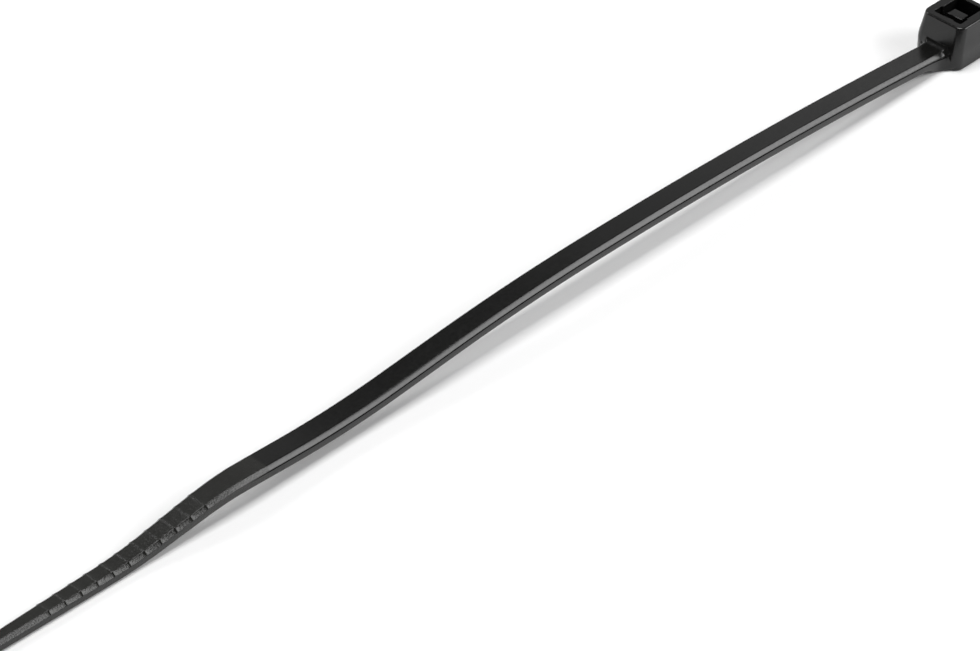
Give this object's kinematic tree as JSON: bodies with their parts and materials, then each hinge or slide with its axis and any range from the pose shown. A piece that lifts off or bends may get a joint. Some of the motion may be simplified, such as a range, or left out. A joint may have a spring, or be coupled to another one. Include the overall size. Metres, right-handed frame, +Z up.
{
  "type": "cable tie",
  "caption": "Self-locking nylon cable tie lying teeth down: a slim strap with a tapered, ribbed tail, and a hollow head with a pawl that grips the strap's underside teeth.",
  "frame": {"origin": "on the table, under the middle of the tie's length and width as it lies", "axes": "+X along the strap towards the head, +Y across the strap, +Z up out of the table, through the head's slot"},
  "size_m": [0.1518, 0.0066, 0.0054],
  "materials": {
    "black_nylon": "moulded black nylon, glossy on the strap and the head, finely spark-eroded matte on the tail"
  },
  "bodies": {
    "root": {"cable_tie": "black_nylon"}
  },
  "joints": []
}
